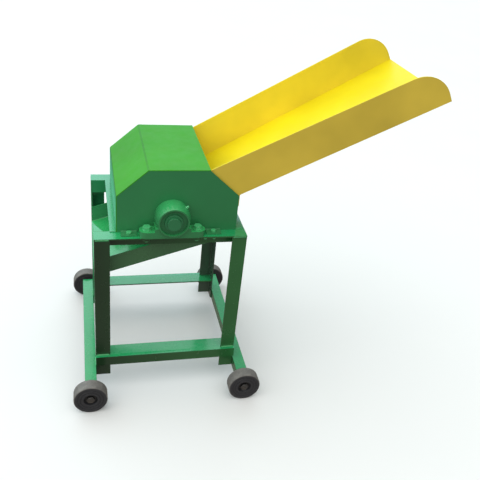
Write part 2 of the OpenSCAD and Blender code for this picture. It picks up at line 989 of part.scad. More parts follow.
module grease_nipples() {
    tip_r = nipple_tip_share * nipple_r;
    hex_r = nipple_hex_share * nipple_r;
    stem = nipple_depth + nipple_reach - tip_r;
    color(steel) front_and_rear() at_front_bearing() rotate([0, nipple_angle, 0]) {
        translate([0, 0, housing_r - nipple_depth]) cylinder(r = nipple_r, h = stem);
        translate([0, 0, housing_r + tiny]) cylinder(r = hex_r, h = nipple_r, $fn = 6);
        translate([0, 0, housing_r + nipple_reach - tip_r]) sphere(r = tip_r);
    }
}

module bearing_bolts() {
    grip = base_t + washer_t + angle_t + nut_len(bearing_bolt_r);
    color(steel) machine() front_and_rear() at_bearing_bolts() {
        translate([0, 0, base_t + washer_t]) hex_bolt(bearing_bolt_r, grip);
    }
}

module bearing_washers() {
    color(steel) machine() front_and_rear() at_bearing_bolts() translate([0, 0, base_t]) difference() {
        cylinder(r = washer_share * bearing_bolt_r, h = washer_t);
        translate([0, 0, -tiny]) cylinder(r = bearing_bolt_r + hole_clearance, h = washer_t + 2 * tiny);
    }
}

module bearing_nuts() {
    color(steel) machine() front_and_rear() at_bearing_bolts() {
        translate([0, 0, -angle_t]) hex_nut(bearing_bolt_r);
    }
}

// Bolts of the sheet parts, and their nuts
module casing_bolts() {
    grip = plate_t + angle_t + nut_len(sheet_bolt_r);
    color(steel) machine() front_and_rear() at_casing_bolts() {
        translate([0, 0, plate_t]) hex_bolt(sheet_bolt_r, grip);
    }
}

module trough_bolts() {
    grip = trough_t + cover_t + nut_len(sheet_bolt_r);
    color(steel) machine() at_trough_bolts() translate([0, 0, trough_t]) hex_bolt(sheet_bolt_r, grip);
}

module chute_bolts() {
    grip = chute_t + angle_t + nut_len(sheet_bolt_r);
    color(steel) machine() front_and_rear() at_chute_bolts() {
        translate([0, 0, chute_t]) hex_bolt(sheet_bolt_r, grip);
    }
}

module sheet_nuts() {
    color(steel) machine() {
        front_and_rear() at_casing_bolts() translate([0, 0, -angle_t]) hex_nut(sheet_bolt_r);
        front_and_rear() at_chute_bolts() translate([0, 0, -angle_t]) hex_nut(sheet_bolt_r);
        at_trough_bolts() translate([0, 0, -cover_t]) hex_nut(sheet_bolt_r);
    }
}

// Rotor
module at_rotor() {
    machine() translate([shaft_x, 0, shaft_z]) children();
}

module main_shaft() {
    color(steel) at_rotor() difference() {
        union() {
            y_bar(journal_r, shaft_front, journal_rear);
            y_bar(shaft_r, -shoulder_y, shoulder_y);
            y_bar(drive_r, journal_rear - tiny, shaft_rear);
        }
        translate([-key_w / 2, shaft_rear - key_len, drive_r - key_depth]) {
            cube([key_w, 2 * key_len, drive_r]);
        }
    }
}

// The seats of the screws that hold the knives on the discs
module at_knife_screws(angle) {
    rotate([0, angle, 0]) for (y = disc_ys) {
        translate([0, y, seat_r + knife_t]) children();
    }
}

module knife_discs() {
    tap_depth = knife_screw_depth + tap_run;
    color(iron) at_rotor() difference() {
        for (y = disc_ys) {
            along_y(y - disc_t / 2, y + disc_t / 2) difference() {
                intersection() {
                    circle(r = disc_r);
                    square(2 * seat_r, center = true);
                }
                circle(r = shaft_r + disc_clearance);
            }
        }
        for (angle = knife_angles) {
            at_knife_screws(angle) translate([0, 0, -knife_t - tap_depth]) {
                cylinder(r = knife_screw_r + thread_clearance, h = tap_depth + knife_t);
            }
        }
    }
}

module knife(index) {
    half = knife_len / 2;
    angle = knife_angles[index];
    color(steel) at_rotor() difference() {
        rotate([0, angle, 0]) along_y(-half, half) polygon([
            [-knife_trail, seat_r],
            [knife_lead - knife_t, seat_r],
            [knife_lead, seat_r + knife_t],
            [-knife_trail, seat_r + knife_t]
        ]);
        at_knife_screws(angle) flush_hole(knife_screw_r, 2 * knife_t);
    }
}

module knife_1() {
    knife(0);
}

module knife_2() {
    knife(1);
}

module knife_3() {
    knife(2);
}

module knife_4() {
    knife(3);
}

module knife_screws() {
    color(steel) at_rotor() for (angle = knife_angles) {
        at_knife_screws(angle) flush_screw(knife_screw_r, knife_t + knife_screw_depth);
    }
}

front_top_rail();
rear_top_rail();
right_top_rail();
left_side_rail();
corner_gusset();
front_left_leg();
front_right_leg();
rear_left_leg();
rear_right_leg();
front_lower_rail();
rear_lower_rail();
left_runner();
right_runner();
axle_brackets();
stub_axles();
axle_spacers();
axle_washers();
axle_nuts();
front_left_tyre();
front_right_tyre();
rear_left_tyre();
rear_right_tyre();
front_left_hub();
front_right_hub();
rear_left_hub();
rear_right_hub();
front_end_plate();
rear_end_plate();
cover();
side_wall();
feed_trough();
discharge_chute();
bed_knife_bar();
bed_knife();
bed_knife_screws();
front_bearing_housing();
rear_bearing_housing();
front_outer_ring();
rear_outer_ring();
front_bearing_balls();
rear_bearing_balls();
front_inner_ring();
rear_inner_ring();
bearing_seals();
grease_nipples();
bearing_bolts();
bearing_washers();
bearing_nuts();
casing_bolts();
trough_bolts();
chute_bolts();
sheet_nuts();
main_shaft();
knife_discs();
knife_1();
knife_2();
knife_3();
knife_4();
knife_screws();
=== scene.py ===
import json
import math
import random

import bmesh
import bpy
from mathutils import Matrix, Vector

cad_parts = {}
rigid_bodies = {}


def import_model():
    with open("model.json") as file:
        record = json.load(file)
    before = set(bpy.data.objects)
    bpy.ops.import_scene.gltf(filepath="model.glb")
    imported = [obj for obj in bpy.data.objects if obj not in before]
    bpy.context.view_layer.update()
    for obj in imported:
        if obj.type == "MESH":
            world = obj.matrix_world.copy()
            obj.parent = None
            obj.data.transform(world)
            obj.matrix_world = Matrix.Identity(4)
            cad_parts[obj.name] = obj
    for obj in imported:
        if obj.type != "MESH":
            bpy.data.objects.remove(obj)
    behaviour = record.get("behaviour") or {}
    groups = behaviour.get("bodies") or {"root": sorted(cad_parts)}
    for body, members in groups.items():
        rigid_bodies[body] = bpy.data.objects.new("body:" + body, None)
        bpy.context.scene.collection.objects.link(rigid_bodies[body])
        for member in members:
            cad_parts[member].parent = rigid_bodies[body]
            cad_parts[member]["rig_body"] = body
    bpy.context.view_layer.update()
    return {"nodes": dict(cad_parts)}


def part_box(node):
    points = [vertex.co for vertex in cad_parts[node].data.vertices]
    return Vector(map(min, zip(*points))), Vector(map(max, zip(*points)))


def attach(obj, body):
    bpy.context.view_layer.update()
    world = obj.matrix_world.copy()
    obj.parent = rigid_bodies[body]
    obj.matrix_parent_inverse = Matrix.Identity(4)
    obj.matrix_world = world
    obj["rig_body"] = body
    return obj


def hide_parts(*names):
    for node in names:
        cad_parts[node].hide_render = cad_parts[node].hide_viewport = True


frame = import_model()
nodes = frame["nodes"]
scene = bpy.context.scene
MM = 0.001
UP = Vector((0, 0, 1))

# Photograph's viewing angle
IMAGE_SIDE = 480
CAMERA_AZIMUTH = -16.228
CAMERA_ELEVATION = 30.719
CAMERA_ROLL = 6.848
CAMERA_DISTANCE = 1.8983
CAMERA_TARGET = Vector((0.0203, 0.0, 0.3699))
FOCAL_PIXELS = 624.03
SENSOR = 36.0


def make_camera():
    """The camera, turned about its own axis as the photograph's was."""
    azimuth = math.radians(CAMERA_AZIMUTH)
    elevation = math.radians(CAMERA_ELEVATION)
    roll = math.radians(CAMERA_ROLL)
    level = math.cos(elevation)
    back = Vector((math.sin(azimuth) * level, -math.cos(azimuth) * level, math.sin(elevation)))
    right = (-back).cross(UP).normalized()
    above = right.cross(-back)
    rolled_right = right * math.cos(roll) + above * math.sin(roll)
    rolled_above = above * math.cos(roll) - right * math.sin(roll)
    data = bpy.data.cameras.new("camera")
    data.sensor_width = SENSOR
    data.lens = FOCAL_PIXELS / IMAGE_SIDE * SENSOR
    camera = bpy.data.objects.new("camera", data)
    turn = Matrix((rolled_right, rolled_above, back)).transposed().to_4x4()
    camera.matrix_world = Matrix.Translation(CAMERA_TARGET + back * CAMERA_DISTANCE) @ turn
    scene.collection.objects.link(camera)
    scene.camera = camera


class Graph:
    """A node tree, with short ways to add and join nodes."""

    def __init__(self, tree):
        self.tree = tree

    def add(self, kind, inputs=None, **settings):
        node = self.tree.nodes.new(kind)
        for key, value in settings.items():
            setattr(node, key, value)
        for key, value in (inputs or {}).items():
            self.plug(value, node.inputs[key])
        return node

    def plug(self, value, socket):
        if isinstance(value, bpy.types.NodeSocket):
            self.tree.links.new(value, socket)
        else:
            socket.default_value = value

    def remap(self, value, low, high, to_low=0.0, to_high=1.0):
        inputs = {"Value": value, "From Min": low, "From Max": high, "To Min": to_low, "To Max": to_high}
        return self.add("ShaderNodeMapRange", inputs).outputs["Result"]

    def math(self, operation, first, second=0.0):
        return self.add("ShaderNodeMath", {0: first, 1: second}, operation=operation).outputs[0]

    def times(self, first, second):
        return self.math("MULTIPLY", first, second)

    def mix(self, factor, first, second):
        """A number between two others."""
        return self.add("ShaderNodeMix", {0: factor, 2: first, 3: second}).outputs[0]

    def blend(self, factor, first, second):
        """A colour between two others."""
        return self.add("ShaderNodeMix", {0: factor, 6: first, 7: second}, data_type="RGBA").outputs[2]


def rgb(red, green, blue):
    return (red, green, blue, 1.0)


# Light
ZENITH = Vector((-0.34, -0.12, 0.93))
ZENITH_GLOW = 1.72
HORIZON_GLOW = 0.15
GROUND_GLOW = 0.28
SKY_GLOW = 1.0
ZENITH_TINT = rgb(1.0, 0.985, 0.94)
HORIZON_TINT = rgb(0.90, 0.97, 0.98)
GROUND_TINT = rgb(1.0, 0.92, 0.82)
SKY_TINT = rgb(0.48, 0.84, 1.0)
BACKDROP = rgb(0.95, 0.97, 0.98)
HORIZON_BLUR = 0.02
# How far the patch of sky turns from the rear to the left, how it spreads, and where it rises and fades
SKY_TURN = 0.6
SKY_SPREAD = 0.1, 0.7
SKY_RISE = 0.0, 0.25
SKY_FADE = 0.8, 0.5


def make_studio():
    """A soft dome that is bright above and to the left, with pale blue sky low at the rear and at the left.

    The camera itself sees a plain, pale backdrop.
    """
    world = bpy.data.worlds.new("studio")
    world.use_nodes = True
    g = Graph(world.node_tree)
    direction = g.add("ShaderNodeTexCoord").outputs["Generated"]
    axes = g.add("ShaderNodeSeparateXYZ", {"Vector": direction}).outputs
    climb = g.add("ShaderNodeVectorMath", {0: direction, 1: ZENITH}, operation="DOT_PRODUCT").outputs["Value"]
    climb = g.remap(climb, 0.0, 1.0)
    above = g.remap(axes["Z"], -HORIZON_BLUR, HORIZON_BLUR)
    strength = g.mix(above, GROUND_GLOW, g.remap(climb, 0.0, 1.0, HORIZON_GLOW, ZENITH_GLOW))
    tint = g.blend(above, GROUND_TINT, g.blend(climb, HORIZON_TINT, ZENITH_TINT))
    dome = g.add("ShaderNodeBackground", {"Color": tint, "Strength": strength})
    towards = g.math("SUBTRACT", axes["Y"], g.times(axes["X"], SKY_TURN))
    band = g.times(g.remap(axes["Z"], *SKY_RISE), g.remap(axes["Z"], *SKY_FADE))
    patch = g.times(g.remap(towards, *SKY_SPREAD), band)
    sky = g.add("ShaderNodeBackground", {"Color": SKY_TINT, "Strength": g.times(patch, SKY_GLOW)})
    light = g.add("ShaderNodeAddShader", {0: dome.outputs[0], 1: sky.outputs[0]})
    seen = g.add("ShaderNodeLightPath").outputs["Is Camera Ray"]
    backdrop = g.add("ShaderNodeBackground", {"Color": BACKDROP})
    both = g.add("ShaderNodeMixShader", {0: seen, 1: light.outputs[0], 2: backdrop.outputs[0]})
    g.plug(both.outputs[0], g.tree.nodes["World Output"].inputs["Surface"])
    scene.world = world
    scene.view_settings.view_transform = "Standard"


MATERIALS = {}
# Usual spread of a noise's values
SPREAD = 0.3, 0.7
# Share of a normal up or sideways where such faces' colour starts to replace painted shade, and where it's
# full
FACING_UP = 0.2, 0.95
FACING_SIDEWAYS = 0.5, 0.9


class Shader(Graph):
    """A material's node tree. The material is listed in MATERIALS."""

    def __init__(self, name):
        material = bpy.data.materials.new(name)
        material.use_nodes = True
        super().__init__(material.node_tree)
        self.surface = self.tree.nodes["Principled BSDF"]
        self.coords = self.add("ShaderNodeTexCoord").outputs["Object"]
        MATERIALS[name] = material

    def set(self, **inputs):
        """Sets the surface's inputs, whose names have _ for a space."""
        for key, value in inputs.items():
            self.plug(value, self.surface.inputs[key.replace("_", " ")])

    def noise(self, spots, detail=3.0, rough=0.5, stretch=(1, 1, 1)):
        """A noise with so many spots per metre."""
        vector = self.add("ShaderNodeMapping", {"Vector": self.coords, "Scale": stretch}).outputs["Vector"]
        inputs = {"Vector": vector, "Scale": spots, "Detail": detail, "Roughness": rough}
        return self.add("ShaderNodeTexNoise", inputs).outputs["Fac"]

    def mottle(self, spots, detail=3.0, rough=0.5, start=SPREAD[0], full=SPREAD[1], least=0.0, most=1.0):
        """A value that climbs from least to most as a noise goes from start to full."""
        return self.remap(self.noise(spots, detail, rough), start, full, least, most)

    def mark(self, name):
        """1 on the rounded edges or folds that soft copies have, and 0 on their faces."""
        return self.add("ShaderNodeAttribute", attribute_name=name).outputs["Fac"]

    def place(self, axis):
        return self.add("ShaderNodeSeparateXYZ", {"Vector": self.coords}).outputs[axis]

    def normal(self, axis):
        whole = self.add("ShaderNodeNewGeometry").outputs["Normal"]
        return self.add("ShaderNodeSeparateXYZ", {"Vector": whole}).outputs[axis]

    def facing_up(self):
        return self.remap(self.normal("Z"), *FACING_UP)

    def facing_sideways(self):
        return self.remap(self.math("ABSOLUTE", self.normal("X")), *FACING_SIDEWAYS)

    def bump(self, *layers):
        """Adds bumps, each given as a height and a depth in metres."""
        normal = None
        for height, depth in layers:
            inputs = {"Height": height, "Distance": depth, "Strength": 1.0}
            if normal is not None:
                inputs["Normal"] = normal
            normal = self.add("ShaderNodeBump", inputs).outputs["Normal"]
        self.plug(normal, self.surface.inputs["Normal"])


# Colours, as linear light. A pair is the two ends of a sweep or of a noise
LEAF_GREEN = rgb(0.048, 0.350, 0.014)
# Painted shade: the cover's paint on the end plates and side wall, darker and bluer
PLATE_PAINTED_SHADE_GREEN = rgb(0.028, 0.238, 0.080)
FRAME_GREEN = rgb(0.012, 0.370, 0.118)
# Painted shade on the frame's faces that don't face up: dark at its left, lighter at its right
FRAME_PAINTED_SHADE = rgb(0.016, 0.046, 0.018), rgb(0.031, 0.158, 0.045)
# Painted light and shade on the frame's sideways faces: lighter than its front faces, as if lit from the left
SIDE_PAINTED_SHADE = rgb(0.036, 0.155, 0.060)
# Painted light: a light shade for the faces of the rear top rail and rear left leg that stand in shade
INNER_PAINTED_LIGHT = rgb(0.030, 0.300, 0.120)
# Painted shade, darker, on the faces of the rear right leg that don't face up
FAR_PAINTED_SHADE = rgb(0.046, 0.092, 0.058)
RUNNER_GREEN = rgb(0.016, 0.330, 0.110)
# Painted sky light and reflection: a light teal for the cover's left wall
WALL_PAINTED_SKY_GREEN = rgb(0.070, 0.430, 0.210)
CHUTE_GREEN = rgb(0.022, 0.460, 0.120)
# Painted shade on the chute's faces that don't face up, darker at its front wall than at its rear one
CHUTE_PAINTED_SHADE = rgb(0.060, 0.170, 0.072), rgb(0.032, 0.300, 0.110)
CAST_GREEN = rgb(0.034, 0.410, 0.120)
# Painted shade on the castings' faces that don't face up
CAST_PAINTED_SHADE = rgb(0.036, 0.250, 0.088)
# Painted highlight: the bolts' green, lighter than that of the castings
BOLT_PAINTED_HIGHLIGHT_GREEN = rgb(0.070, 0.520, 0.190)
SHAFT_GREEN = rgb(0.030, 0.210, 0.082)
# Painted shade: a little darker than the shaft's green, for the outer rings and seals in the housing's recess
RING_PAINTED_SHADE_GREEN = rgb(0.026, 0.190, 0.068)
TROUGH_YELLOW = rgb(0.900, 0.765, 0.006)
# Painted shade on the trough's walls, darker on the near wall than on the far one
TROUGH_PAINTED_SHADE = rgb(0.850, 0.625, 0.076), rgb(0.950, 0.760, 0.050)
CHIPPED_STEEL = rgb(0.330, 0.320, 0.300)
RUST = rgb(0.090, 0.038, 0.016)
DUST = rgb(0.340, 0.300, 0.220)
STEEL = rgb(0.40, 0.40, 0.41), rgb(0.66, 0.66, 0.66)
STEEL_STAIN = rgb(0.20, 0.16, 0.12)
SHAFT_STEEL = rgb(0.60, 0.60, 0.61)
SEAL_BLACK = rgb(0.03, 0.03, 0.03)
IRON = rgb(0.035, 0.036, 0.04), rgb(0.070, 0.062, 0.056)
RUBBER = rgb(0.028, 0.028, 0.032), rgb(0.056, 0.056, 0.062)
RUBBER_POWDER = rgb(0.235, 0.222, 0.205)
FLOOR_WHITE = rgb(0.86, 0.86, 0.86), rgb(0.89, 0.89, 0.89)


def toned(colour, share):
    return rgb(*(channel * share for channel in colour[:3]))


# A shade is a function that gives a lighter or darker coat of its colour; most give painted shade
def even(colour):
    """A shade of one colour."""
    return lambda s, share: toned(colour, share)


def swept(axis, span, colours):
    """A shade that goes from one colour to another along an axis of the part."""
    first, second = colours
    return lambda s, share: s.blend(s.remap(s.place(axis), *span), toned(first, share), toned(second, share))


def layered(s, coats, shade, shares):
    """A shade in thin and thick coats."""
    thin, thick = shares
    return s.blend(coats, shade(s, thin), shade(s, thick))


# Enamel: sizes of its patches, in spots per metre, and shares of its colour
COAT_SPOTS = 5
BEND_SPOTS = 60
DUST_SPOTS = 22
CHIP_SPOTS = 160
RUST_SPOTS = 420
SHINE_SPOTS = 35
WAVE_SPOTS = 9
COAT_SHARES = 0.90, 1.08
SHADE_SHARES = 0.84, 1.12
BEND_SHARE = 0.45
# Values of the noise between which a chip starts on edges with no wear, and how much full wear lowers them
CHIP_START = 0.62
CHIP_FULL = 0.68
CHIP_GAIN = 0.12
DUST_DULLNESS = 1.5
COAT_ROUGHNESS = 0.12
# Share of the clear coat that is left on the faces with painted shade, which don't face up
DULL_COAT = 0.2


def enamel_on(s, colour, shade=None, side=None, wear=0.5, dust=0.06, gloss=(0.24, 0.42), waves=0.0009,
              grain=0.00002, grain_spots=900):
    """Enamel on steel: uneven coats, darker bends, dust, worn edges, orange peel. Returns colour and gloss.

    With a shade, the faces that don't face up get that painted shade in place of the paint's colour. Those
    of them that face sideways get the side's painted shade instead, where there is one.
    """
    coats = s.mottle(COAT_SPOTS)
    paint = layered(s, coats, even(colour), COAT_SHARES)
    # Painted shade: faces that don't face up take the shade's colour, and sideways ones the side's
    if shade:
        painted_shade = layered(s, coats, shade, SHADE_SHARES)
        if side:
            painted_shade = s.blend(s.facing_sideways(), painted_shade, layered(s, coats, even(side), SHADE_SHARES))
        paint = s.blend(s.facing_up(), painted_shade, paint)
    bends = s.times(s.mark("fold"), s.mottle(BEND_SPOTS, detail=4, rough=0.6, least=0.25, most=0.6))
    paint = s.blend(bends, paint, toned(colour, BEND_SHARE))
    dirt = s.mottle(DUST_SPOTS, detail=5, rough=0.65, start=0.42, full=0.75, most=dust)
    settled = s.times(s.facing_up(), dirt)
    paint = s.blend(settled, paint, DUST)
    gain = CHIP_GAIN * wear
    chips = s.mottle(CHIP_SPOTS, detail=4, rough=0.7, start=CHIP_START - gain, full=CHIP_FULL - gain)
    worn = s.times(s.mark("edge"), chips)
    metal = s.blend(s.mottle(RUST_SPOTS, detail=2, start=0.4, full=0.6), CHIPPED_STEEL, RUST)
    paint = s.blend(s.times(worn, wear), paint, metal)
    shine = s.mottle(SHINE_SPOTS, detail=4, rough=0.6, full=0.75, least=gloss[0], most=gloss[1])
    s.bump((s.noise(WAVE_SPOTS, detail=2), waves), (s.noise(grain_spots, detail=2), grain))
    return paint, s.math("ADD", shine, s.times(settled, DUST_DULLNESS))


def enamel(name, colour, coat=0.3, specular=0.5, **finish):
    """Enamel under a clear coat, which is thinner on the faces with painted shade."""
    s = Shader(name)
    paint, shine = enamel_on(s, colour, **finish)
    clear = coat
    if coat and "shade" in finish:
        clear = s.remap(s.facing_up(), 0.0, 1.0, coat * DULL_COAT, coat)
    s.set(Base_Color=paint, Roughness=shine, Specular_IOR_Level=specular)
    s.set(Coat_Weight=clear, Coat_Roughness=COAT_ROUGHNESS)


# Steel: its scratches are fine along the axes that are stretched most
SCRATCHES = {"spots": 60, "detail": 6, "rough": 0.75}
SCRATCHED_GLOSS = 0.22, 0.46
SCRATCH_TONE = 0.7
SCRATCH_DEPTH = 0.00004
TURNED = (1, 40, 1)
GROUND = (1, 0.05, 1)
CUT = (3, 3, 3)
STAIN_SPOTS = 45
# Paint on oversprayed steel, how far its edge strays in so many spots per metre, and how soft that edge is
SPRAY_FINISH = {"waves": 0.0001, "grain": 0.00006, "grain_spots": 500}
SPRAY_STRAY = 0.002
SPRAY_SPOTS = 150
SPRAY_BLUR = 0.001


def oversprayed(name, colour, reach, steel):
    """Steel parts that the paint covers from the front as far back as the Y given as reach."""
    s = Shader(name)
    paint, shine = enamel_on(s, colour, **SPRAY_FINISH)
    stray = s.mottle(SPRAY_SPOTS, detail=4, least=-SPRAY_STRAY, most=SPRAY_STRAY)
    bare = s.remap(s.math("ADD", s.place("Y"), stray), reach - SPRAY_BLUR, reach + SPRAY_BLUR)
    scratches = s.noise(stretch=TURNED, **SCRATCHES)
    metal = s.blend(scratches, toned(steel, SCRATCH_TONE), steel)
    s.set(Base_Color=s.blend(bare, paint, metal), Metallic=bare)
    s.set(Roughness=s.mix(bare, shine, s.remap(scratches, *SPREAD, *SCRATCHED_GLOSS)))


def bare_steel(name, stretch, tone=1.0):
    """Scratched steel with a few stains."""
    s = Shader(name)
    scratches = s.noise(stretch=stretch, **SCRATCHES)
    stain = s.mottle(STAIN_SPOTS, detail=4, rough=0.6, start=0.45, full=0.75, most=0.45)
    dark, light = STEEL
    colour = s.blend(scratches, toned(dark, tone), toned(light, tone))
    s.set(Base_Color=s.blend(stain, colour, STEEL_STAIN), Metallic=1.0)
    s.set(Roughness=s.remap(scratches, *SPREAD, *SCRATCHED_GLOSS))
    s.bump((scratches, SCRATCH_DEPTH))


# Mill scale and its pits
SCALE_SPOTS = 90
SCALE_GLOSS = 0.45, 0.72
PIT_SPOTS = 300
PIT_DEPTH = 0.0001


def dark_iron(name):
    """Flame-cut plate with its mill scale."""
    s = Shader(name)
    scale = s.mottle(SCALE_SPOTS, detail=6, rough=0.7, start=0.35)
    s.set(Base_Color=s.blend(scale, *IRON), Metallic=0.5)
    s.set(Roughness=s.remap(scale, 0.0, 1.0, *SCALE_GLOSS))
    s.bump((s.noise(PIT_SPOTS, detail=4), PIT_DEPTH))


# Tyres: depth below the tread where its powder starts and where it is full, and the seam round its middle
TREAD_START = 0.0035
TREAD_FULL = 0.0008
SEAM_HALF = 0.0004, 0.0010
SEAM_HEIGHT = 0.0006
# Patches of their powder, colour and gloss, and their fine and coarse grain
POWDER_SPOTS = 70
TYRE_SPOTS = 120
TYRE_SHINE_SPOTS = 60
FINE_SPOTS = 700
FINE_DEPTH = 0.00008
COARSE_SPOTS = 150
COARSE_DEPTH = 0.0002


def rubber(name, wheel_r):
    """Solid rubber, with a paler, dusty tread. The piece's own origin is at the wheel's middle."""
    s = Shader(name)
    across, along, height = s.place("X"), s.place("Y"), s.place("Z")
    radius = s.math("SQRT", s.math("ADD", s.times(across, across), s.times(height, height)))
    tread = s.remap(radius, wheel_r - TREAD_START, wheel_r - TREAD_FULL)
    seam = s.remap(s.math("ABSOLUTE", along), *SEAM_HALF, 1.0, 0.0)
    powder = s.mottle(POWDER_SPOTS, detail=5, rough=0.65, least=0.45)
    face = s.blend(s.noise(TYRE_SPOTS, detail=4), *RUBBER)
    s.set(Base_Color=s.blend(s.times(tread, powder), face, RUBBER_POWDER))
    s.set(Roughness=s.mottle(TYRE_SHINE_SPOTS, least=0.5, most=0.72), Specular_IOR_Level=0.4)
    s.bump((s.noise(FINE_SPOTS), FINE_DEPTH), (s.noise(COARSE_SPOTS), COARSE_DEPTH),
           (s.times(seam, tread), SEAM_HEIGHT))


FLOOR_SPOTS = 1.5
FLOOR_SHINE_SPOTS = 4


def floor_paint(name):
    s = Shader(name)
    s.set(Base_Color=s.blend(s.noise(FLOOR_SPOTS), *FLOOR_WHITE))
    s.set(Roughness=s.mottle(FLOOR_SHINE_SPOTS, least=0.55, most=0.7))


# Painted shade sweeps: over the frame left to right, over a sheet front to rear, and through the rear right
# leg
FRAME_SPAN = -0.40, -0.03
SHEET_SPAN = -0.10, 0.10
leg_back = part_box("rear_right_leg")[1].y
LEG_SPAN = leg_back - 3 * MM, leg_back - 1 * MM
FRAME_SWEEP = swept("X", FRAME_SPAN, FRAME_PAINTED_SHADE)
# Painted shade on the rear right leg: darker on its inner faces than on its rear face
LEG_SWEEP = swept("Y", LEG_SPAN, (FAR_PAINTED_SHADE, FRAME_PAINTED_SHADE[1]))
CHUTE_SWEEP = swept("Y", SHEET_SPAN, CHUTE_PAINTED_SHADE)
TROUGH_SWEEP = swept("Y", SHEET_SPAN, TROUGH_PAINTED_SHADE)

# Paints
IRON_FINISH = {"gloss": (0.16, 0.32), "waves": 0.0004}
CAST_FINISH = {"gloss": (0.18, 0.34), "waves": 0.0002, "grain": 0.00025, "grain_spots": 420}
BOLT_FINISH = {"gloss": (0.14, 0.28), "waves": 0.0, "grain": 0.00005, "grain_spots": 700}
# The frame's irons share one paint and differ in their painted shade
enamel("frame_green", FRAME_GREEN, coat=1.0, shade=FRAME_SWEEP, side=SIDE_PAINTED_SHADE, **IRON_FINISH)
enamel("inner_green", FRAME_GREEN, coat=1.0, shade=even(INNER_PAINTED_LIGHT), side=SIDE_PAINTED_SHADE, **IRON_FINISH)
enamel("far_green", FRAME_GREEN, coat=1.0, shade=LEG_SWEEP, **IRON_FINISH)
enamel("runner_green", RUNNER_GREEN, specular=0.3, shade=FRAME_SWEEP, side=SIDE_PAINTED_SHADE, **IRON_FINISH)
enamel("wall_painted_sky_green", WALL_PAINTED_SKY_GREEN, coat=0.0, specular=0.2, gloss=(0.40, 0.55))
enamel("chute_green", CHUTE_GREEN, coat=0.8, shade=CHUTE_SWEEP, gloss=(0.18, 0.34))
enamel("cover_green", LEAF_GREEN, coat=0.0, specular=0.25, wear=0.35, gloss=(0.40, 0.55))
enamel("plate_green", PLATE_PAINTED_SHADE_GREEN, coat=0.1, wear=0.35, gloss=(0.30, 0.46))
enamel("trough_yellow", TROUGH_YELLOW, coat=0.0, specular=0.35, dust=0.03, shade=TROUGH_SWEEP,
       gloss=(0.34, 0.50))
enamel("cast_green", CAST_GREEN, coat=0.4, shade=even(CAST_PAINTED_SHADE), **CAST_FINISH)
enamel("bolt_painted_highlight_green", BOLT_PAINTED_HIGHLIGHT_GREEN, coat=1.0, wear=0.8, **BOLT_FINISH)

# Steel, iron, rubber and the floor
SHAFT_REACH = -0.165
SEAL_REACH = -0.150
BOLT_TONE = 0.8
AXLE_TONE = 0.3
tyre_low, tyre_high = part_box("front_left_tyre")
bare_steel("turned_steel", TURNED)
bare_steel("ground_steel", GROUND)
bare_steel("bolt_steel", CUT, BOLT_TONE)
bare_steel("axle_steel", CUT, AXLE_TONE)
oversprayed("shaft_steel", SHAFT_GREEN, SHAFT_REACH, SHAFT_STEEL)
oversprayed("ring_steel", RING_PAINTED_SHADE_GREEN, SHAFT_REACH, SHAFT_STEEL)
oversprayed("seal_rubber", RING_PAINTED_SHADE_GREEN, SEAL_REACH, SEAL_BLACK)
dark_iron("dark_iron")
rubber("tyre_rubber", (tyre_high.z - tyre_low.z) / 2)
floor_paint("floor")

FLOOR_HALF = 60.0


def make_floor():
    corners = [(x * FLOOR_HALF, y * FLOOR_HALF, 0) for x, y in ((-1, -1), (1, -1), (1, 1), (-1, 1))]
    mesh = bpy.data.meshes.new("floor")
    mesh.from_pydata(corners, [], [(0, 1, 2, 3)])
    mesh.materials.append(MATERIALS["floor"])
    floor = bpy.data.objects.new("floor", mesh)
    floor.visible_diffuse = False
    floor.visible_glossy = False
    scene.collection.objects.link(floor)


# Rounded copies of the solids
CREASE = math.radians(25)
FLAT = math.radians(0.7)
SMOOTH = math.radians(38)
MERGE_DISTANCE = 0.00001
FOLD_SEGMENTS = 4
HOLLOW_SEGMENTS = 3
EDGE_SEGMENTS = 2
FOLD_LENGTH = 0.2
FOLD_WIDTH = 0.006


def creases(bm, hollow, chosen):
    """The sharp edges that stick out, or those in hollow corners, that the test picks."""
    found = []
    for edge in bm.edges:
        if len(edge.link_faces) != 2:
            continue
        angle = edge.calc_face_angle_signed()
        if abs(angle) > CREASE and (angle < 0) == hollow and chosen(edge):
            found.append(edge)
    return found


def round_off(bm, edges, radius, segments, mark=None):
    """Rounds edges that turn by about the same angle, and gives the new faces the mark."""
    if not edges:
        return
    turn = max(edge.calc_face_angle() for edge in edges)
    offset = radius * math.tan(turn / 2)
    made = bmesh.ops.bevel(
        bm, geom=edges, offset=offset, offset_type="OFFSET", segments=segments, profile=0.5,
        affect="EDGES", clamp_overlap=True,
    )
    if mark:
        layer = bm.faces.layers.float[mark]
        for face in made["faces"]:
            face[layer] = 1.0


def any_edge(edge):
    return True


def is_fold(edge):
    """A long bend between two wide faces of a sheet."""
    length = edge.calc_length()
    return length > FOLD_LENGTH and all(face.calc_area() / length > FOLD_WIDTH for face in edge.link_faces)


def smooth_mesh(name, bm, material):
    """A smooth mesh from a bmesh, which ends there."""
    mesh = bpy.data.meshes.new(name)
    bm.to_mesh(mesh)
    bm.free()
    mesh.polygons.foreach_set("use_smooth", [True] * len(mesh.polygons))
    mesh.materials.append(MATERIALS[material])
    return mesh


